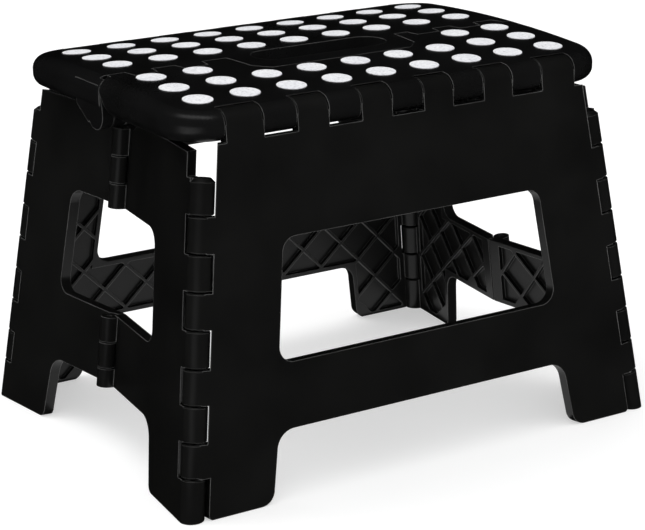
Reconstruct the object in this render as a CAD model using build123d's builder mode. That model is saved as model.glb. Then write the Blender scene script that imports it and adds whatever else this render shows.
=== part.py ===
from build123d import *
import os
from math import atan, atan2, cos, hypot, radians, sin, sqrt, tan

# Folding step stool: two seat halves hinged at a centre seam, a leg panel hinged under
# each long edge of the seat, and two end panels, each of two halves that fold inward.
# +X runs along the seat, +Y to the back, +Z up. The origin is on the floor, under the
# middle of the seat. Millimetres.

# ---- driving dimensions ----
seat_length = 298.0
seat_crown_z = 231.0  # top of the seat at the centre seam
seat_crown_radius = 1128.0  # shallow dome across the seat's width
seat_corner = 28.0
skirt_z = 209.2  # bottom edge of the seat's skirt
skin = 2.8  # seat wall

hinge_y, hinge_z = 95.0, 218.0  # seat-to-leg hinge axis, at y = -/+ hinge_y
seam_z = 209.0  # seat centre hinge axis, at y = 0
finger_pocket_r = 9.5
leg_fingers = [(10.65, 31.95), (53.25, 74.55), (95.85, 120.7)]
finger_gap = 0.35

foot_y = 127.3  # leg panel's outer face at the floor
leg_lean = atan2(24.4, 228.0)
plate_t = 7.0  # depth of the leg and end panels
plate_skin = 4.2  # the panel between its ribs
leg_top_drop = 9.8  # leg panel's top edge, below the hinge axis

barrel_r = 7.25  # corner knuckles
corner_u, corner_splay = -158.1, atan(0.12865)
corner_cut_r = 8.6
corner_levels = [191.0, 170.0, 149.0, 128.0, 107.0, 85.5, 65.0, 44.0, 24.0, 0.0]
corner_gap = 0.8
end_fold = radians(84.0)  # an end half's travel between open and flat

centre_r = 5.2  # knuckles of the end panels' centre hinges
centre_pocket_r = 5.9
centre_gap = 0.9
upper_levels = [150.5, 165.5, 182.0, 198.3]
lower_levels = [41.3, 53.0, 69.0, 84.5]

seat_rod_r, corner_rod_r, seam_pin_r, centre_pin_r = 2.0, 1.5, 2.0, 1.4
running = 0.06  # radial clearance of a rod in the piece that turns on it

ease = 0.7  # chamfer on the ends of barrels and fingers

dot_pitch, dot_r = 30.49, 8.7
dot_rows = (21.2, 48.6, 76.0)
dot_depth, dot_proud = 0.9, 0.3

rib_pitch, rib_t = 30.5, 1.8

os.makedirs("parts", exist_ok=True)

# ---- frames ----
leg_up = Vector(0, sin(leg_lean), cos(leg_lean))
leg_in = Vector(0, cos(leg_lean), -sin(leg_lean))
leg_plane = Plane(origin=(0, -foot_y, 0), x_dir=(1, 0, 0), z_dir=leg_in * -1)
hinge_v = Vector(0, foot_y - hinge_y, hinge_z).dot(leg_up)
hinge_w = Vector(0, foot_y - hinge_y, hinge_z).dot(leg_in)  # also the finger radius
finger_r = hinge_w
leg_top_v = hinge_v - leg_top_drop

corner_v0 = barrel_r * tan(leg_lean)
corner_dir = Vector(sin(corner_splay), 0, 0) + leg_up * cos(corner_splay)
corner_foot = Vector(corner_u, -foot_y, 0) + leg_up * corner_v0 + leg_in * barrel_r
flat_dir = leg_in.cross(corner_dir)
end_dir = flat_dir * cos(end_fold) + leg_in * sin(end_fold)
end_out = leg_in * cos(end_fold) - flat_dir * sin(end_fold)
corner_plane = Plane(origin=corner_foot, x_dir=end_dir, z_dir=corner_dir)
corner_plane_right = Plane(
    origin=(-corner_foot.X, corner_foot.Y, corner_foot.Z),
    x_dir=(0, 1, 0),
    z_dir=(-corner_dir.X, corner_dir.Y, corner_dir.Z),
)
end_plane = Plane(origin=corner_foot + end_out * barrel_r, x_dir=end_dir, z_dir=end_out * -1)

# The end panel's centre hinge axis lies in the plane y = 0 both open and folded: it stands
# this far outside the end half's outer face.
centre_out = (hinge_z - seam_z) + hinge_w - 2 * barrel_r


def centre_point(t):
    b = corner_foot + end_out * (barrel_r + centre_out) + corner_dir * t
    return b - end_dir * (b.Y / end_dir.Y)


centre_dir = (centre_point(200.0) - centre_point(0.0)).normalized()
centre_foot = centre_point(0.0) - centre_dir * (centre_point(0.0).Z / centre_dir.Z)
# local x towards the front, local y towards the inside of the stool
centre_plane = Plane(origin=centre_foot, x_dir=(0, -1, 0), z_dir=centre_dir)


def along_corner(z):
    return z / corner_dir.Z


def along_centre(z):
    return z / centre_dir.Z


def leg_u(inboard, v):
    """Panel x at a distance inboard of the left corner axis."""
    return corner_u + (v - corner_v0) * tan(corner_splay) + inboard / cos(corner_splay)


def end_t(s, z):
    """Panel height of the end half's outer face at height z over the floor."""
    z0 = (corner_foot + end_out * barrel_r).Z
    return (z - z0 - s * end_dir.Z) / corner_dir.Z


def end_centre_s(t):
    """Where the end half's outer face meets the plane y = 0."""
    y0 = (corner_foot + end_out * barrel_r).Y
    return -(y0 + t * corner_dir.Y) / end_dir.Y


def pick(builder, *points):
    """The sketch's vertices nearest these local points."""
    return [
        min(builder.vertices(), key=lambda v: hypot(v.X - x, v.Y - y)) for x, y in points
    ]


def both(points):
    """A left-hand outline and its mirror image, as one closed polygon."""
    return list(points) + [(-x, y) for x, y in reversed(points)]


def lattice(count):
    """Centres of the diagonal ribs, for one direction."""
    return [(i * rib_pitch, 0) for i in range(-count, count + 1)]


def barrel(plane, start, length, r, low_ease, high_ease):
    """A hinge barrel along the plane's normal, with its two ends eased by a chamfer."""
    pieces = [Solid.make_cylinder(r, length - low_ease - high_ease, plane.offset(start + low_ease))]
    if low_ease:
        pieces.append(Solid.make_cone(r - low_ease, r, low_ease, plane.offset(start)))
    if high_ease:
        top = plane.offset(start + length - high_ease)
        pieces.append(Solid.make_cone(r, r - high_ease, high_ease, top))
    return pieces


end_levels = [
    (corner_levels[i + 1], corner_levels[i]) for i in range(0, 9, 2)
]  # knuckles of the end halves
leg_levels = [(corner_levels[i + 1], corner_levels[i]) for i in range(1, 8, 2)]
above = (corner_levels[0], 240.0)

# ---- front leg panel ----
arch = [(-108.6, 0.0), (-101.6, 41.8)]
window = [(-98.2, 80.5), (-89.3, 152.2)]

with BuildPart() as leg_front:
    with BuildSketch(leg_plane) as sk:
        Polygon(
            *both(
                [
                    (leg_u(7.2, 0), 0),
                    (leg_u(7.2, 24.6), 24.6),
                    (leg_u(0, 24.6), 24.6),
                    (leg_u(0, leg_top_v), leg_top_v),
                ]
            ),
            align=None,
        )
        fillet(pick(sk, (leg_u(7.2, 0), 0), (-leg_u(7.2, 0), 0)), 2.5)
        Polygon(*both([(-109.4, -5.0), arch[0], arch[1]]), align=None, mode=Mode.SUBTRACT)
        fillet(pick(sk, *both(arch[1:])), 12.0)
        fillet(pick(sk, *both(arch[:1])), 9.0)
        Polygon(*both(window), align=None, mode=Mode.SUBTRACT)
        fillet(pick(sk, *both(window)), 9.0)
        for x0, x1 in leg_fingers:
            with Locations(
                ((x0 + x1) / 2, leg_top_v + leg_top_drop / 2 - 1),
                (-(x0 + x1) / 2, leg_top_v + leg_top_drop / 2 - 1),
            ):
                Rectangle(x1 - x0 - 2 * finger_gap, leg_top_drop + 2)
    extrude(amount=-plate_t)
    # pockets between the diagonal ribs on the inner side
    with BuildSketch(leg_plane.offset(-plate_t)) as cells:
        Polygon(
            *both([(leg_u(11.2, 3.0), 3.0), (leg_u(11.2, leg_top_v), leg_top_v - 3.0)]),
            align=None,
        )
        Polygon(
            *both([(-112.2, -5.0), (arch[1][0] - 2.8, arch[1][1] + 2.8)]),
            align=None,
            mode=Mode.SUBTRACT,
        )
        Polygon(
            *both(
                [
                    (window[0][0] - 3.0, window[0][1] - 2.8),
                    (window[1][0] - 2.6, window[1][1] + 2.8),
                ]
            ),
            align=None,
            mode=Mode.SUBTRACT,
        )
        with Locations(*lattice(13)):
            Rectangle(900, rib_t, rotation=45, mode=Mode.SUBTRACT)
            Rectangle(900, rib_t, rotation=-45, mode=Mode.SUBTRACT)
        add([f for f in cells.faces() if f.area > 45], mode=Mode.REPLACE)
    extrude(amount=plate_t - plate_skin, mode=Mode.SUBTRACT)
    # corner knuckles
    for plane in (corner_plane, corner_plane_right):
        for z0, z1 in leg_levels:
            add(
                barrel(
                    plane,
                    along_corner(z0) + corner_gap / 2,
                    along_corner(z1 - z0) - corner_gap,
                    barrel_r,
                    ease,
                    ease,
                )
            )
    for plane in (corner_plane, corner_plane_right):
        for z0, z1 in end_levels[:-1] + [above]:
            with BuildSketch(plane.offset(along_corner(z0) - corner_gap / 2)):
                Circle(corner_cut_r)
            extrude(amount=along_corner(z1 - z0) + corner_gap, mode=Mode.SUBTRACT)
        with BuildSketch(plane.offset(-20.0)):
            Circle(barrel_r + 0.05)
        extrude(amount=along_corner(24.0) + 20.0 + corner_gap / 2, mode=Mode.SUBTRACT)
        with BuildSketch(plane.offset(-5.0)):
            Circle(corner_rod_r)
        extrude(amount=205.0, mode=Mode.SUBTRACT)
    # hinge fingers under the seat's edge
    for x0, x1 in leg_fingers:
        for side in (-1, 1):
            start = x0 + finger_gap if side > 0 else -x1 + finger_gap
            add(
                barrel(
                    Plane(origin=(0, -hinge_y, hinge_z), x_dir=(0, 1, 0), z_dir=(1, 0, 0)),
                    start,
                    x1 - x0 - 2 * finger_gap,
                    finger_r,
                    ease,
                    ease,
                )
            )
    with BuildSketch(Plane(origin=(-125, -hinge_y, hinge_z), x_dir=(0, 1, 0), z_dir=(1, 0, 0))):
        Circle(seat_rod_r)
    extrude(amount=250, mode=Mode.SUBTRACT)
    # feet cut level with the floor
    with BuildSketch(Plane.XY):
        Rectangle(600, 600)
    extrude(amount=-30, mode=Mode.SUBTRACT)

# ---- one end half's plate: left end, front half ----
end_window_s = 49.4
with BuildPart() as end_plate:
    with BuildSketch(end_plane) as sk:
        Polygon(
            (0, end_t(0, 0)),
            (135, end_t(135, 0)),
            (135, end_t(135, upper_levels[3])),
            (88, end_t(88, upper_levels[3])),
            (76, end_t(76, 204.5)),
            (0, end_t(0, 204.5)),
            align=None,
        )
        Polygon(
            (48.0, end_t(48.0, -8)),
            (50.8, end_t(50.8, lower_levels[0])),
            (140, end_t(140, lower_levels[0])),
            (140, end_t(140, -8)),
            align=None,
            mode=Mode.SUBTRACT,
        )
        fillet(pick(sk, (50.8, end_t(50.8, lower_levels[0]))), 13.0)
        fillet(pick(sk, (48.4, end_t(48.4, 0))), 5.0)
        Polygon(
            (end_window_s, end_t(end_window_s, lower_levels[3])),
            (140, end_t(140, lower_levels[3])),
            (140, end_t(140, upper_levels[0])),
            (end_window_s, end_t(end_window_s, upper_levels[0])),
            align=None,
            mode=Mode.SUBTRACT,
        )
        fillet(pick(sk, (end_window_s, end_t(end_window_s, lower_levels[3]))), 8.0)
        fillet(pick(sk, (end_window_s, end_t(end_window_s, upper_levels[0]))), 11.0)
    extrude(amount=plate_t)
    with BuildSketch(end_plane.offset(plate_t)) as cells:
        m = 2.8
        Polygon(
            (11.4, end_t(11.4, m + 1)),
            (end_centre_s(0) - 9.5, end_t(110, m + 1)),
            (end_centre_s(210) - 9.5, end_t(90, upper_levels[3] - m)),
            (84, end_t(84, upper_levels[3] - m)),
            (74, end_t(74, 204.5 - m)),
            (11.4, end_t(11.4, 204.5 - m)),
            align=None,
        )
        Polygon(
            (48.0 - m, end_t(48.0, -8)),
            (50.8 - m, end_t(50.8, lower_levels[0] + m)),
            (140, end_t(140, lower_levels[0] + m)),
            (140, end_t(140, -8)),
            align=None,
            mode=Mode.SUBTRACT,
        )
        Polygon(
            (end_window_s - m, end_t(end_window_s, lower_levels[3] - m)),
            (140, end_t(140, lower_levels[3] - m)),
            (140, end_t(140, upper_levels[0] + m)),
            (end_window_s - m, end_t(end_window_s, upper_levels[0] + m)),
            align=None,
            mode=Mode.SUBTRACT,
        )
        with Locations(*[(x - 4, y) for x, y in lattice(12)]):
            Rectangle(900, rib_t, rotation=45, mode=Mode.SUBTRACT)
            Rectangle(900, rib_t, rotation=-45, mode=Mode.SUBTRACT)
        add([f for f in cells.faces() if f.area > 45], mode=Mode.REPLACE)
    extrude(amount=-(plate_t - plate_skin), mode=Mode.SUBTRACT)
    # the halves meet in the plane y = 0
    with BuildSketch(Plane.XZ.offset(0.5)):
        Rectangle(900, 900)
    extrude(amount=-120, mode=Mode.SUBTRACT)
    for z0, z1 in end_levels:
        low = -20.0 if z0 == 0 else along_corner(z0) + corner_gap / 2
        add(
            barrel(
                corner_plane,
                low,
                along_corner(z1) - corner_gap / 2 - low,
                barrel_r,
                0 if z0 == 0 else ease,
                2.2 if z1 == corner_levels[0] else ease,
            )
        )
    for z0, z1 in leg_levels + [above]:
        with BuildSketch(corner_plane.offset(along_corner(z0) - corner_gap / 2)):
            Circle(corner_cut_r)
        extrude(amount=along_corner(z1 - z0) + corner_gap, mode=Mode.SUBTRACT)
    with BuildSketch(corner_plane.offset(-25.0)):
        Circle(corner_rod_r + running)
    extrude(amount=along_corner(188.5) + 25.0, mode=Mode.SUBTRACT)
    with BuildSketch(Plane.XY):
        Rectangle(600, 600)
    extrude(amount=-30, mode=Mode.SUBTRACT)

outer_knuckles = [
    (upper_levels[0], upper_levels[1]),
    (upper_levels[2], upper_levels[3]),
    (lower_levels[0], lower_levels[1]),
    (lower_levels[2], lower_levels[3]),
]
middle_knuckles = [(upper_levels[1], upper_levels[2]), (lower_levels[1], lower_levels[2])]


def knuckle_span(z0, z1):
    """Axial start and length of a centre knuckle, with the gap only towards a neighbour."""
    lo = along_centre(z0) + (0 if z0 in (upper_levels[0], lower_levels[0]) else centre_gap / 2)
    hi = along_centre(z1) - (0 if z1 in (upper_levels[3], lower_levels[3]) else centre_gap / 2)
    return lo, hi - lo


# ---- left end, front half: the outer knuckles of each centre hinge ----
with BuildPart() as end_left_front:
    add(end_plate.part)
    for z0, z1 in middle_knuckles:
        lo, length = along_centre(z0) - centre_gap / 2, along_centre(z1 - z0) + centre_gap
        with BuildSketch(centre_plane.offset(lo)):
            Circle(centre_pocket_r)
        extrude(amount=length, mode=Mode.SUBTRACT)
    for z0, z1 in outer_knuckles:
        lo, length = knuckle_span(z0, z1)
        with BuildSketch(centre_plane.offset(lo)):
            Circle(centre_r)
            with Locations((0.5, 0)):
                Rectangle(centre_r - 0.5, centre_out + 3.4, align=(Align.MIN, Align.MIN))
        extrude(amount=length)
        with BuildSketch(centre_plane.offset(lo - 5)):
            Circle(centre_pin_r)
        extrude(amount=length + 10, mode=Mode.SUBTRACT)

# ---- left end, back half: the middle knuckle of each centre hinge ----
with BuildPart() as end_left_back:
    mirror(end_plate.part, about=Plane.XZ)
    for z0, z1 in outer_knuckles:
        lo, length = along_centre(z0) - centre_gap / 2 - 1, along_centre(z1 - z0) + centre_gap + 2
        if z0 in (upper_levels[0], lower_levels[0]):
            length -= 1
        else:
            lo, length = lo + 1, length - 1
        with BuildSketch(centre_plane.offset(lo)):
            Circle(centre_pocket_r)
        extrude(amount=length, mode=Mode.SUBTRACT)
    for z0, z1 in middle_knuckles:
        lo, length = knuckle_span(z0, z1)
        with BuildSketch(centre_plane.offset(lo)):
            Circle(centre_r)
            with Locations((-0.5, 0)):
                Rectangle(centre_r - 0.5, centre_out + 3.4, align=(Align.MAX, Align.MIN))
        extrude(amount=length)

with BuildPart() as end_right_front:
    mirror(end_left_front.part, about=Plane.YZ)
with BuildPart() as end_right_back:
    mirror(end_left_back.part, about=Plane.YZ)
with BuildPart() as leg_back:
    mirror(leg_front.part, about=Plane.XZ)

# ---- seat ----
seat_width = 2 * (hinge_y + finger_r)


def crown_z(y):
    return seat_crown_z - y * y / (2 * seat_crown_radius)


# both halves as one crowned body, with rounded edges all round
with BuildPart() as seat_envelope:
    with BuildSketch(Plane.XY.offset(skirt_z)):
        RectangleRounded(seat_length, seat_width, seat_corner)
    extrude(amount=40)
    with BuildSketch(Plane.YZ.offset(-200)):
        with BuildLine():
            ThreePointArc((-130, crown_z(130)), (0, seat_crown_z), (130, crown_z(130)))
            Polyline((130, crown_z(130)), (130, 270), (-130, 270), (-130, crown_z(130)))
        make_face()
    extrude(amount=400, mode=Mode.SUBTRACT)
    fillet(seat_envelope.faces().sort_by(Axis.Z)[-1].edges(), 8.6)
    fillet(seat_envelope.faces().sort_by(Axis.Z)[0].edges(), 7.4)

tab = [(-61.0, -1.5), (-58.5, -27.5), (-50.0, -37.0), (47.5, -37.0), (56.0, -27.5), (58.5, -1.5)]
slot_x, slot_y, slot_l, slot_w = -0.5, -9.0, 92.0, 27.0

# the hollow under the seat, with ribs left standing in it
with BuildPart() as seat_hollow:
    with BuildSketch(Plane.XY.offset(200)):
        Rectangle(seat_length - 2 * skin - 0.4, 2 * 82.5)
    extrude(amount=40)
    with BuildSketch(Plane.YZ.offset(-200)):
        with BuildLine():
            ThreePointArc(
                (-130, crown_z(130) - skin), (0, seat_crown_z - skin), (130, crown_z(130) - skin)
            )
            Polyline(
                (130, crown_z(130) - skin), (130, 270), (-130, 270), (-130, crown_z(130) - skin)
            )
        make_face()
    extrude(amount=400, mode=Mode.SUBTRACT)
    fillet(seat_hollow.edges().filter_by(Axis.Y).sort_by(Axis.Z)[-2:], 5.5)
    fillet(seat_hollow.edges().filter_by(Axis.Z), 5.0)
    with BuildSketch(Plane.XY.offset(214)) as ribs:
        for y in (-68, -53, 26, 40.5, 55, 69.5):
            with Locations((0, y)):
                Rectangle(292, rib_t)
        for i in range(-5, 6):
            with Locations((i * 25.5, -61)):
                Rectangle(rib_t, 45)
            with Locations((i * 25.5, 50)):
                Rectangle(rib_t, 66)
        for x in (-127.5, -102, -76.5, 76.5, 102, 127.5):
            with Locations((x, 0)):
                Rectangle(rib_t, 100)
    extrude(amount=30, mode=Mode.SUBTRACT)

# finger pockets, rods and end bosses shared by both long edges, made for the front edge
with BuildPart() as finger_pockets:
    for x0, x1 in leg_fingers:
        for side in (-1, 1):
            start = x0 if side > 0 else -x1
            with BuildSketch(
                Plane(origin=(start, -hinge_y, hinge_z), x_dir=(0, 1, 0), z_dir=(1, 0, 0))
            ):
                Circle(finger_pocket_r)
                with Locations((finger_pocket_r, 0)):
                    Rectangle(30, 30, align=(Align.MAX, Align.MAX))
                Rectangle(30, 60, align=(Align.MAX, Align.CENTER))
            extrude(amount=x1 - x0)
    with BuildSketch(Plane(origin=(-136.5, -hinge_y, hinge_z), x_dir=(0, 1, 0), z_dir=(1, 0, 0))):
        Circle(seat_rod_r + running)
    extrude(amount=273)

teeth = [(-128.7, -111.4), (-95.8, -77.9), (68.9, 87.6), (101.2, 119.2)]
tooth_y, seam_y = -11.0, -1.5


def seam_outline(gap):
    """The seam from left to right, moved forward by a gap."""
    line = [(-170.0, -6.8 - gap), (-144.8 + gap, -6.8 - gap), (-144.8 + gap, seam_y - gap)]
    for x0, x1 in teeth[:2]:
        line += [
            (x0 - gap, seam_y - gap),
            (x0 + 1.5 - gap, tooth_y - gap),
            (x1 - 1.5 + gap, tooth_y - gap),
            (x1 + gap, seam_y - gap),
        ]
    line += [
        (tab[0][0] - gap, seam_y - gap),
        (tab[1][0] - gap, tab[1][1] - gap * 0.4),
        (tab[2][0] - gap * 0.4, tab[2][1] - gap),
        (tab[3][0] + gap * 0.4, tab[3][1] - gap),
        (tab[4][0] + gap, tab[4][1] - gap * 0.4),
        (tab[5][0] + gap, seam_y - gap),
    ]
    for x0, x1 in teeth[2:]:
        line += [
            (x0 - gap, seam_y - gap),
            (x0 + 1.5 - gap, tooth_y - gap),
            (x1 - 1.5 + gap, tooth_y - gap),
            (x1 + gap, seam_y - gap),
        ]
    line += [(133.9 - gap, seam_y - gap), (136.0 - gap, tooth_y - gap), (170.0, tooth_y - gap)]
    return line


front_web = [
    (-26, 211.5), (-26, 229.3), (-13.5, 229.3), (-12.5, 226.0), (-8, 226.0), (-2.4, 218.0),
    (0, 209), (-9.2, 209),
]
back_web = [(26, 211.5), (26, 227.0), (2.0, 227.0), (0, 218.0), (0, 209), (9.2, 209)]
lobe_web = [
    (0, 209), (9.2, 201.9), (18.2, 207.5), (24, 211), (24, 226.5),
    (-4.6, 226.5), (-7.4, 221.5), (-9.3, 214.0), (-9.6, 209.0),
]
x_lobe, x_mid, x_in, x_end = 141.0, 140.5, 131.8, 131.3
x_last = 123.0


def x_plane(x):
    return Plane(origin=(x, 0, 0), x_dir=(0, 1, 0), z_dir=(1, 0, 0))


with BuildPart() as seat_front_half:
    add(seat_envelope.part)
    with BuildSketch(Plane.XY.offset(190)):
        Polygon((-170, -120), *seam_outline(0.55), (170, -120), align=None)
    extrude(amount=60, mode=Mode.INTERSECT)
    add(seat_hollow.part, mode=Mode.SUBTRACT)
    # wall round the handle's opening, and the ledge that the handle rests on
    with BuildSketch(Plane.XY.offset(213.5)):
        Polygon(
            (-64.0, -2.6), (-61.3, -29.4), (-51.4, -39.9), (48.9, -39.9), (58.8, -29.4),
            (61.5, -2.6), (59.3, -2.6), (56.6, -28.4), (47.9, -37.7), (-50.4, -37.7),
            (-59.1, -28.4), (-61.8, -2.6), align=None,
        )
    extrude(amount=14.6)
    with BuildSketch(Plane.XY.offset(223.5)):
        Polygon((-49, -38.6), (45, -38.6), (45, -34.2), (-49, -34.2), align=None)
    extrude(amount=3.2)
    # seam wall between the hinge knuckles and the handle
    with BuildSketch(Plane.XY.offset(214)):
        for x0, x1 in ((-131, -61.5), (59, 131)):
            with Locations(((x0 + x1) / 2, -13.4)):
                Rectangle(x1 - x0, 2.0)
    extrude(amount=14.2)
    # the skirt is cut away round the back half's lobes
    for x0, x1, dy in ((-160, -x_mid, 0), (x_mid, 160, -4.4)):
        with BuildSketch(x_plane(x0)):
            Polygon((6, 231.5), (-7.0 + dy, 231.5), (-7.4 + dy, 224), (-8.3 + dy, 222.6),
                    (-12.8 + dy * 0.7, 217), (-17.4, 212), (-22.3, 210.2), (-23.5, 195), (6, 195),
                    align=None)
        extrude(amount=x1 - x0, mode=Mode.SUBTRACT)
    for side in (-1, 1):
        start = -x_mid if side < 0 else x_in
        with BuildSketch(x_plane(start)):
            Polygon(*front_web, align=None)
            with Locations((0, seam_z)):
                Circle(9.2)
        extrude(amount=x_mid - x_in)
    for side in (-1, 1):
        # room for the back half's inner knuckles
        start = -x_end - 0.4 if side < 0 else x_last - 0.5
        with BuildSketch(x_plane(start)):
            with Locations((0, seam_z)):
                Circle(10.0)
        extrude(amount=x_end - x_last + 0.9, mode=Mode.SUBTRACT)
    with BuildSketch(x_plane(-150)):
        with Locations((0, seam_z)):
            Circle(seam_pin_r + running)
    extrude(amount=300, mode=Mode.SUBTRACT)
    add(finger_pockets.part, mode=Mode.SUBTRACT)

with BuildPart() as seat_back_half:
    add(seat_envelope.part)
    with BuildSketch(Plane.XY.offset(190)):
        Polygon((-170, 120), *seam_outline(0.0), (170, 120), align=None)
    extrude(amount=60, mode=Mode.INTERSECT)
    add(seat_hollow.part, mode=Mode.SUBTRACT)
    # seam wall, and the handle's collar
    with BuildSketch(Plane.XY.offset(214)):
        for x0, x1 in ((-131, -50), (50, 131)):
            with Locations(((x0 + x1) / 2, 1.0)):
                Rectangle(x1 - x0, 2.0)
        with Locations((slot_x, slot_y)):
            SlotOverall(slot_l + 5, slot_w + 5)
    extrude(amount=14.4)
    with BuildSketch(Plane.XY.offset(200)):
        with Locations((slot_x, slot_y)):
            SlotOverall(slot_l, slot_w)
    extrude(amount=50, mode=Mode.SUBTRACT)
    for side in (-1, 1):
        start = -148.4 if side < 0 else x_lobe
        with BuildSketch(x_plane(start)):
            Polygon(*lobe_web, align=None)
            with Locations((0, seam_z)):
                Circle(9.7)
        extrude(amount=148.4 - x_lobe)
        start = -x_end if side < 0 else x_last
        with BuildSketch(x_plane(start)):
            Polygon(*back_web, align=None)
            with Locations((0, seam_z)):
                Circle(9.2)
        extrude(amount=x_end - x_last)
        # room for the front half's knuckle
        start = -x_mid - 0.45 if side < 0 else x_in - 0.45
        with BuildSketch(x_plane(start)):
            with Locations((0, seam_z)):
                Circle(10.0)
            Polygon((-30, 200), (-30, 227.2), (2.2, 227.2), (2.2, 200), align=None)
        extrude(amount=x_mid - x_in + 0.9, mode=Mode.SUBTRACT)
    with BuildSketch(x_plane(-146.5)):
        with Locations((0, seam_z)):
            Circle(seam_pin_r)
    extrude(amount=293, mode=Mode.SUBTRACT)
    mirror(finger_pockets.part, about=Plane.XZ, mode=Mode.SUBTRACT)

# ---- grip dots: discs set into the seat, following its crown ----
columns = [(i - 4) * dot_pitch for i in range(9)]
front_spots = [
    (x, -y) for y in dot_rows for x in columns if y > 30 or abs(x) > 70
]
back_spots = [(x, y) for y in dot_rows for x in columns]


with BuildPart() as crown_slab:
    with BuildSketch(Plane.YZ.offset(-160)):
        with BuildLine():
            ThreePointArc(
                (-100, crown_z(100) - dot_depth), (0, seat_crown_z - dot_depth), (100, crown_z(100) - dot_depth)
            )
            Line((100, crown_z(100) - dot_depth), (100, crown_z(100) + dot_proud))
            ThreePointArc(
                (100, crown_z(100) + dot_proud), (0, seat_crown_z + dot_proud), (-100, crown_z(100) + dot_proud)
            )
            Line((-100, crown_z(100) + dot_proud), (-100, crown_z(100) - dot_depth))
        make_face()
    extrude(amount=320)

with BuildPart() as grip_dots_front:
    with BuildSketch(Plane.XY.offset(215)):
        with Locations(*front_spots):
            Circle(dot_r)
    extrude(amount=20)
    add(crown_slab.part, mode=Mode.INTERSECT)

with BuildPart() as grip_dots_back:
    with BuildSketch(Plane.XY.offset(215)):
        with Locations(*back_spots):
            Circle(dot_r)
    extrude(amount=20)
    add(crown_slab.part, mode=Mode.INTERSECT)

with BuildPart() as seat_front_final:
    add(seat_front_half.part)
    add(grip_dots_front.part, mode=Mode.SUBTRACT)
with BuildPart() as seat_back_final:
    add(seat_back_half.part)
    add(grip_dots_back.part, mode=Mode.SUBTRACT)

# ---- rods and pins ----
with BuildPart() as seat_rod_front:
    with BuildSketch(Plane(origin=(-135.5, -hinge_y, hinge_z), x_dir=(0, 1, 0), z_dir=(1, 0, 0))):
        Circle(seat_rod_r)
    extrude(amount=271)
with BuildPart() as seat_rod_back:
    mirror(seat_rod_front.part, about=Plane.XZ)

with BuildPart() as corner_rod_left_front:
    with BuildSketch(corner_plane.offset(3.0)):
        Circle(corner_rod_r)
    extrude(amount=along_corner(187.5) - 3.0)
with BuildPart() as corner_rod_right_front:
    mirror(corner_rod_left_front.part, about=Plane.YZ)
with BuildPart() as corner_rod_left_back:
    mirror(corner_rod_left_front.part, about=Plane.XZ)
with BuildPart() as corner_rod_right_back:
    mirror(corner_rod_right_front.part, about=Plane.XZ)

with BuildPart() as seam_pin_left:
    with BuildSketch(x_plane(-146.5)):
        with Locations((0, seam_z)):
            Circle(seam_pin_r)
    extrude(amount=146.5 - x_last)
with BuildPart() as seam_pin_right:
    mirror(seam_pin_left.part, about=Plane.YZ)


def stub_span(z0, z1):
    lo, length = knuckle_span(z0, z1)
    return lo + (1.5 if z0 in (upper_levels[0], lower_levels[0]) else 0), length - 1.5


with BuildPart() as end_pins_left_upper:
    for z0, z1 in outer_knuckles[:2]:
        lo, length = stub_span(z0, z1)
        with BuildSketch(centre_plane.offset(lo)):
            Circle(centre_pin_r)
        extrude(amount=length)
with BuildPart() as end_pins_left_lower:
    for z0, z1 in outer_knuckles[2:]:
        lo, length = stub_span(z0, z1)
        with BuildSketch(centre_plane.offset(lo)):
            Circle(centre_pin_r)
        extrude(amount=length)
with BuildPart() as end_pins_right_upper:
    mirror(end_pins_left_upper.part, about=Plane.YZ)
with BuildPart() as end_pins_right_lower:
    mirror(end_pins_left_lower.part, about=Plane.YZ)

leg_front.part.label = "leg_front"
export_step(leg_front.part, "parts/leg_front.step")
leg_back.part.label = "leg_back"
export_step(leg_back.part, "parts/leg_back.step")
end_left_front.part.label = "end_left_front"
export_step(end_left_front.part, "parts/end_left_front.step")
end_left_back.part.label = "end_left_back"
export_step(end_left_back.part, "parts/end_left_back.step")
end_right_front.part.label = "end_right_front"
export_step(end_right_front.part, "parts/end_right_front.step")
end_right_back.part.label = "end_right_back"
export_step(end_right_back.part, "parts/end_right_back.step")
seat_front_final.part.label = "seat_front_half"
export_step(seat_front_final.part, "parts/seat_front_half.step")
seat_back_final.part.label = "seat_back_half"
export_step(seat_back_final.part, "parts/seat_back_half.step")
grip_dots_front.part.label = "grip_dots_front"
export_step(grip_dots_front.part, "parts/grip_dots_front.step")
grip_dots_back.part.label = "grip_dots_back"
export_step(grip_dots_back.part, "parts/grip_dots_back.step")
seat_rod_front.part.label = "seat_rod_front"
export_step(seat_rod_front.part, "parts/seat_rod_front.step")
seat_rod_back.part.label = "seat_rod_back"
export_step(seat_rod_back.part, "parts/seat_rod_back.step")
corner_rod_left_front.part.label = "corner_rod_left_front"
export_step(corner_rod_left_front.part, "parts/corner_rod_left_front.step")
corner_rod_left_back.part.label = "corner_rod_left_back"
export_step(corner_rod_left_back.part, "parts/corner_rod_left_back.step")
corner_rod_right_front.part.label = "corner_rod_right_front"
export_step(corner_rod_right_front.part, "parts/corner_rod_right_front.step")
corner_rod_right_back.part.label = "corner_rod_right_back"
export_step(corner_rod_right_back.part, "parts/corner_rod_right_back.step")
seam_pin_left.part.label = "seam_pin_left"
export_step(seam_pin_left.part, "parts/seam_pin_left.step")
seam_pin_right.part.label = "seam_pin_right"
export_step(seam_pin_right.part, "parts/seam_pin_right.step")
end_pins_left_upper.part.label = "end_pins_left_upper"
export_step(end_pins_left_upper.part, "parts/end_pins_left_upper.step")
end_pins_left_lower.part.label = "end_pins_left_lower"
export_step(end_pins_left_lower.part, "parts/end_pins_left_lower.step")
end_pins_right_upper.part.label = "end_pins_right_upper"
export_step(end_pins_right_upper.part, "parts/end_pins_right_upper.step")
end_pins_right_lower.part.label = "end_pins_right_lower"
export_step(end_pins_right_lower.part, "parts/end_pins_right_lower.step")

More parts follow.
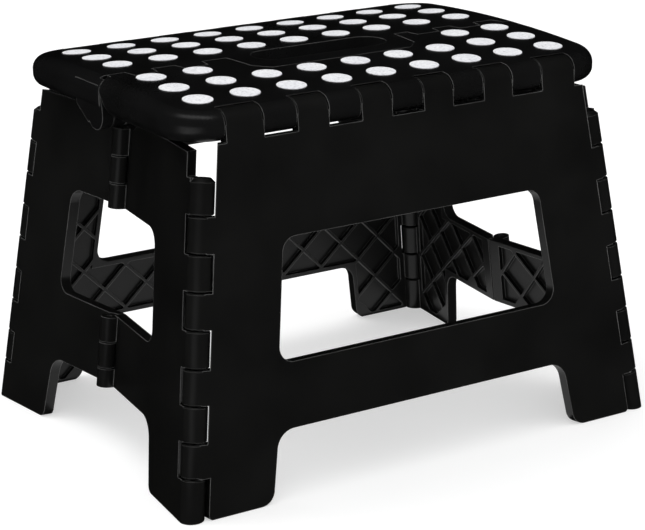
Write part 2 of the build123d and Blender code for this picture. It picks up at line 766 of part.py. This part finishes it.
print("corner axis", corner_foot, corner_dir)
print("centre axis", centre_foot, centre_dir, "outside face by", round(centre_out, 3))
print("leg hinge radius", round(finger_r, 3), "lean deg", round(leg_lean * 57.29578, 4))
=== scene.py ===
"""Looks of the folding step stool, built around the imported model."""

import math

import bpy
from mathutils import Matrix, Vector


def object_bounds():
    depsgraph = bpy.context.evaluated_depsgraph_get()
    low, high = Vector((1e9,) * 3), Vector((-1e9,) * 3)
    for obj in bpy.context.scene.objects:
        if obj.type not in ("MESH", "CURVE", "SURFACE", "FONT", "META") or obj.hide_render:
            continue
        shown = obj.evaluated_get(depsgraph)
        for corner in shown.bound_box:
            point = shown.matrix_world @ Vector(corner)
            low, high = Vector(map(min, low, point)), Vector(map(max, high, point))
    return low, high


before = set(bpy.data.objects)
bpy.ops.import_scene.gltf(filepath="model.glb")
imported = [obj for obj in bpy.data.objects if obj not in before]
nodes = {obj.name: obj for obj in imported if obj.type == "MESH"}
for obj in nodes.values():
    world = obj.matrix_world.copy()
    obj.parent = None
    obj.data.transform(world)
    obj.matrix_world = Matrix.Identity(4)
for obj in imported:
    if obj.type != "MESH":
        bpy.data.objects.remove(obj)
cad_lo, cad_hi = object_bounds()
scene = bpy.context.scene


# ------------------------------------------------------------------ materials
def new_material(name):
    m = bpy.data.materials.new(name)
    m.use_nodes = True
    nt = m.node_tree
    nt.nodes.clear()
    out = nt.nodes.new("ShaderNodeOutputMaterial")
    bsdf = nt.nodes.new("ShaderNodeBsdfPrincipled")
    nt.links.new(bsdf.outputs["BSDF"], out.inputs["Surface"])
    return m, nt, bsdf


def noise(nt, scale, detail=2.0, rough=0.5, coord=None):
    n = nt.nodes.new("ShaderNodeTexNoise")
    n.inputs["Scale"].default_value = scale
    n.inputs["Detail"].default_value = detail
    n.inputs["Roughness"].default_value = rough
    if coord is not None:
        nt.links.new(coord, n.inputs["Vector"])
    return n


def ramp(nt, source, stops):
    r = nt.nodes.new("ShaderNodeValToRGB")
    els = r.color_ramp.elements
    while len(els) < len(stops):
        els.new(0.5)
    for e, (pos, col) in zip(els, stops):
        e.position = pos
        e.color = (*col, 1.0) if len(col) == 3 else col
    nt.links.new(source, r.inputs["Fac"])
    return r


def span(nt, source, lo, hi, out_lo, out_hi):
    r = nt.nodes.new("ShaderNodeMapRange")
    r.inputs["From Min"].default_value = lo
    r.inputs["From Max"].default_value = hi
    r.inputs["To Min"].default_value = out_lo
    r.inputs["To Max"].default_value = out_hi
    nt.links.new(source, r.inputs["Value"])
    return r


def moulded(name, dark, light, rough_lo, rough_hi, grain, grain_depth, flow_depth):
    """Injection-moulded plastic: a fine spark-eroded grain, a slow waviness from
    the mould, faint cloudy colour, and a rubbed, shinier patch here and there."""
    m, nt, bsdf = new_material(name)
    at = nt.nodes.new("ShaderNodeTexCoord").outputs["Object"]
    cloud = noise(nt, 22.0, 3.0, 0.55, at)
    tint = ramp(nt, cloud.outputs["Fac"], [(0.30, dark), (0.72, light)])

    # painted highlight: edges are painted paler where the rolled normal leaves the true one, in place
    # of light catching the edges and gaps; patchy noise breaks the lines up
    rolled = nt.nodes.new("ShaderNodeBevel")
    rolled.samples = 8
    rolled.inputs["Radius"].default_value = 0.0008
    true_n = nt.nodes.new("ShaderNodeNewGeometry").outputs["Normal"]
    dot = nt.nodes.new("ShaderNodeVectorMath")
    dot.operation = "DOT_PRODUCT"
    nt.links.new(rolled.outputs["Normal"], dot.inputs[0])
    nt.links.new(true_n, dot.inputs[1])
    highlight_edge_band = span(nt, dot.outputs["Value"], 0.98, 0.80, 0.0, 1.0)
    highlight_patch_noise = noise(nt, 60.0, 3.0, 0.6, at)
    highlight_patchiness = span(nt, highlight_patch_noise.outputs["Fac"], 0.35, 0.6, 0.55, 1.0)
    patchy_edge_highlight = nt.nodes.new("ShaderNodeMath")
    patchy_edge_highlight.operation = "MULTIPLY"
    nt.links.new(highlight_edge_band.outputs["Result"], patchy_edge_highlight.inputs[0])
    nt.links.new(highlight_patchiness.outputs["Result"], patchy_edge_highlight.inputs[1])
    # the painted edge highlight is weaker on upward-facing edges, so the top's edges stay darker than
    # the sides'
    facing = nt.nodes.new("ShaderNodeSeparateXYZ")
    nt.links.new(nt.nodes.new("ShaderNodeTexCoord").outputs["Normal"], facing.inputs["Vector"])
    highlight_side_weight = span(nt, facing.outputs["Z"], 0.35, 0.9, 1.0, 0.28)
    painted_edge_highlight = nt.nodes.new("ShaderNodeMath")
    painted_edge_highlight.operation = "MULTIPLY"
    nt.links.new(patchy_edge_highlight.outputs[0], painted_edge_highlight.inputs[0])
    nt.links.new(highlight_side_weight.outputs["Result"], painted_edge_highlight.inputs[1])
    # mix the pale grey of the painted edge highlight into the plastic's tint
    colour = nt.nodes.new("ShaderNodeMix")
    colour.data_type = "RGBA"
    nt.links.new(painted_edge_highlight.outputs[0], colour.inputs["Factor"])
    nt.links.new(tint.outputs["Color"], colour.inputs["A"])
    colour.inputs["B"].default_value = (0.17, 0.17, 0.167, 1.0)
    nt.links.new(colour.outputs["Result"], bsdf.inputs["Base Color"])

    rub = noise(nt, 9.0, 4.0, 0.6, at)
    fine = noise(nt, grain * 0.5, 2.0, 0.5, at)
    both = nt.nodes.new("ShaderNodeMath")
    both.operation = "MULTIPLY_ADD"
    both.inputs[1].default_value = 0.7
    nt.links.new(rub.outputs["Fac"], both.inputs[0])
    third = nt.nodes.new("ShaderNodeMath")
    third.operation = "MULTIPLY"
    third.inputs[1].default_value = 0.3
    nt.links.new(fine.outputs["Fac"], third.inputs[0])
    nt.links.new(third.outputs[0], both.inputs[2])
    rr = span(nt, both.outputs[0], 0.3, 0.7, rough_lo, rough_hi)
    nt.links.new(rr.outputs["Result"], bsdf.inputs["Roughness"])

    flow = noise(nt, 14.0, 1.0, 0.4, at)
    b1 = nt.nodes.new("ShaderNodeBump")
    nt.links.new(rolled.outputs["Normal"], b1.inputs["Normal"])
    b1.inputs["Strength"].default_value = 0.35
    b1.inputs["Distance"].default_value = flow_depth
    nt.links.new(flow.outputs["Fac"], b1.inputs["Height"])
    g = noise(nt, grain, 2.0, 0.5, at)
    b2 = nt.nodes.new("ShaderNodeBump")
    b2.inputs["Strength"].default_value = 0.5
    b2.inputs["Distance"].default_value = grain_depth
    nt.links.new(g.outputs["Fac"], b2.inputs["Height"])
    nt.links.new(b1.outputs["Normal"], b2.inputs["Normal"])
    nt.links.new(b2.outputs["Normal"], bsdf.inputs["Normal"])
    bsdf.inputs["IOR"].default_value = 1.49
    bsdf.inputs["Specular IOR Level"].default_value = 0.5
    return m


seat_mat = moulded("seat_moulding", (0.0042, 0.0042, 0.0042), (0.0066, 0.0066, 0.0068),
                   0.24, 0.36, 1500.0, 0.000020, 0.00016)
panel_mat = moulded("panel_moulding", (0.0046, 0.0046, 0.0044), (0.0072, 0.0072, 0.0068),
                    0.27, 0.40, 1300.0, 0.000022, 0.00018)


def grip_material():
    """Soft light plastic with a fine dark-and-light speckle."""
    m, nt, bsdf = new_material("grip_moulding")
    at = nt.nodes.new("ShaderNodeTexCoord").outputs["Object"]
    speck = noise(nt, 620.0, 3.0, 0.65, at)
    cloud = noise(nt, 90.0, 2.0, 0.5, at)
    c1 = ramp(nt, speck.outputs["Fac"],
              [(0.28, (0.42, 0.425, 0.445)), (0.42, (0.66, 0.665, 0.685)), (0.60, (0.76, 0.765, 0.78))])
    c2 = ramp(nt, cloud.outputs["Fac"], [(0.3, (0.90, 0.90, 0.915)), (0.7, (1.0, 1.0, 1.0))])
    mix = nt.nodes.new("ShaderNodeMix")
    mix.data_type = "RGBA"
    mix.blend_type = "MULTIPLY"
    mix.inputs["Factor"].default_value = 1.0
    nt.links.new(c1.outputs["Color"], mix.inputs["A"])
    nt.links.new(c2.outputs["Color"], mix.inputs["B"])
    nt.links.new(mix.outputs["Result"], bsdf.inputs["Base Color"])
    rr = span(nt, speck.outputs["Fac"], 0.3, 0.7, 0.50, 0.68)
    nt.links.new(rr.outputs["Result"], bsdf.inputs["Roughness"])
    pebble = noise(nt, 900.0, 2.0, 0.6, at)
    b = nt.nodes.new("ShaderNodeBump")
    b.inputs["Strength"].default_value = 0.6
    b.inputs["Distance"].default_value = 0.00008
    nt.links.new(pebble.outputs["Fac"], b.inputs["Height"])
    nt.links.new(b.outputs["Normal"], bsdf.inputs["Normal"])
    return m


def steel_material():
    """Drawn wire: lengthwise draw lines, a little dull where it has been handled."""
    m, nt, bsdf = new_material("drawn_steel")
    at = nt.nodes.new("ShaderNodeTexCoord").outputs["Object"]
    stretch = nt.nodes.new("ShaderNodeMapping")
    stretch.inputs["Scale"].default_value = (0.03, 1.0, 1.0)
    nt.links.new(at, stretch.inputs["Vector"])
    draw = noise(nt, 2400.0, 3.0, 0.6, stretch.outputs["Vector"])
    dull = noise(nt, 40.0, 3.0, 0.6, at)
    tint = ramp(nt, dull.outputs["Fac"], [(0.3, (0.42, 0.42, 0.43)), (0.7, (0.60, 0.60, 0.61))])
    nt.links.new(tint.outputs["Color"], bsdf.inputs["Base Color"])
    rr = span(nt, draw.outputs["Fac"], 0.3, 0.7, 0.24, 0.40)
    nt.links.new(rr.outputs["Result"], bsdf.inputs["Roughness"])
    bsdf.inputs["Metallic"].default_value = 1.0
    b = nt.nodes.new("ShaderNodeBump")
    b.inputs["Strength"].default_value = 0.3
    b.inputs["Distance"].default_value = 0.00001
    nt.links.new(draw.outputs["Fac"], b.inputs["Height"])
    nt.links.new(b.outputs["Normal"], bsdf.inputs["Normal"])
    return m


grip_mat = grip_material()
steel_mat = steel_material()


def material_of(name):
    if name.startswith("grip_dots"):
        return grip_mat
    if "rod" in name or "pin" in name:
        return steel_mat
    if name.startswith("seat"):
        return seat_mat
    return panel_mat


# moulded edges are never knife sharp: a small rolled edge on each piece
EDGE = {"seat_front_half": 0.00055, "seat_back_half": 0.00055,
        "leg_front": 0.0006, "leg_back": 0.0006,
        "end_left_front": 0.0006, "end_left_back": 0.0006,
        "end_right_front": 0.0006, "end_right_back": 0.0006,
        "grip_dots_front": 0.0003, "grip_dots_back": 0.0003}

for name, obj in nodes.items():
    obj.data.materials.clear()
    obj.data.materials.append(material_of(name))
    if name in EDGE:
        weld = obj.modifiers.new("weld", "WELD")
        weld.merge_threshold = 0.000005
        bev = obj.modifiers.new("rolled_edge", "BEVEL")
        bev.width = EDGE[name]
        bev.segments = 2
        bev.limit_method = "ANGLE"
        bev.angle_limit = math.radians(38)
        bev.use_clamp_overlap = True
        bev.harden_normals = False
        wn = obj.modifiers.new("normals", "WEIGHTED_NORMAL")
        wn.weight = 80
        wn.keep_sharp = True

# ------------------------------------------------------------------ camera
AZ, EL, ROLL = math.radians(-31.85), math.radians(17.62), math.radians(-0.79)
back = Vector((math.sin(AZ) * math.cos(EL), -math.cos(AZ) * math.cos(EL), math.sin(EL)))
fwd = -back
right = fwd.cross(Vector((0, 0, 1))).normalized()
up = right.cross(fwd)
right2 = right * math.cos(ROLL) + up * math.sin(ROLL)
up2 = -right * math.sin(ROLL) + up * math.cos(ROLL)
place = Vector((-0.69975, -1.13486, 0.51358))
cam_data = bpy.data.cameras.new("view")
cam_data.sensor_width = 36.0
cam_data.lens = 2225.55 / 645.0 * 36.0
cam_data.clip_start, cam_data.clip_end = 0.05, 40.0
cam = bpy.data.objects.new("view", cam_data)
scene.collection.objects.link(cam)
m = Matrix((right2, up2, back)).transposed().to_4x4()
m.translation = place
cam.matrix_world = m
scene.camera = cam

# ------------------------------------------------------------------ floor
floor_mesh = bpy.data.meshes.new("floor")
R = 14.0
floor_mesh.from_pydata([(-R, -R, 0), (R, -R, 0), (R, R, 0), (-R, R, 0)], [], [(0, 1, 2, 3)])
floor = bpy.data.objects.new("floor", floor_mesh)
floor.location.z = cad_lo.z - 0.0002
scene.collection.objects.link(floor)
fm, fnt, fb = new_material("pale_floor")
fb.inputs["Base Color"].default_value = (0.56, 0.56, 0.56, 1)
fb.inputs["Roughness"].default_value = 0.9
fb.inputs["Specular IOR Level"].default_value = 0.05
fb.inputs["Emission Color"].default_value = (1, 1, 1, 1)
fb.inputs["Emission Strength"].default_value = 0.50
floor_mesh.materials.append(fm)
floor.visible_glossy = False    # flagged off, as black cards do round a dark object

# ------------------------------------------------------------------ light
world = bpy.data.worlds.new("studio")
scene.world = world
world.use_nodes = True
bg = world.node_tree.nodes["Background"]
bg.inputs["Color"].default_value = (1, 1, 1, 1)
bg.inputs["Strength"].default_value = 1.0
world.cycles_visibility.glossy = False


def area(name, where, aim, size, power, seen=False):
    d = bpy.data.lights.new(name, "AREA")
    d.shape = "RECTANGLE"
    d.size, d.size_y = size
    d.energy = power
    o = bpy.data.objects.new(name, d)
    o.location = where
    o.rotation_mode = "QUATERNION"
    o.rotation_quaternion = (Vector(aim) - Vector(where)).to_track_quat("-Z", "Y")
    o.visible_glossy = seen
    scene.collection.objects.link(o)
    return o


area("key", (-0.9, 0.9, 2.0), (0, 0, 0.15), (1.2, 1.2), 16.0)
area("fill", (1.6, -1.2, 1.4), (0, 0, 0.12), (1.2, 1.2), 5.0)
area("strip_top", (-0.5, -0.5, 1.9), (0, 0, 0.2), (1.8, 0.6), 4.0, seen=True)


def bounce(name, x0, x1, y0, y1, glow):
    """A white card lying on the floor that only the gloss of the stool sees."""
    me = bpy.data.meshes.new(name)
    z = cad_lo.z - 0.0001
    me.from_pydata([(x0, y0, z), (x1, y0, z), (x1, y1, z), (x0, y1, z)], [], [(0, 1, 2, 3)])
    o = bpy.data.objects.new(name, me)
    scene.collection.objects.link(o)
    cm, cnt, cb = new_material(name + "_card")
    cb.inputs["Base Color"].default_value = (0, 0, 0, 1)
    cb.inputs["Specular IOR Level"].default_value = 0.0
    cb.inputs["Emission Color"].default_value = (1, 1, 1, 1)
    cb.inputs["Emission Strength"].default_value = glow
    me.materials.append(cm)
    o.visible_camera = o.visible_diffuse = o.visible_shadow = False


bounce("bounce_under", -0.150, 0.150, -0.118, 0.118, 0.5)
bounce("bounce_left", -1.2, -0.45, -0.95, -0.25, 0.8)

scene.view_settings.view_transform = "Standard"
scene.view_settings.look = "None"
scene.view_settings.exposure = 0.0
scene.view_settings.gamma = 1.0
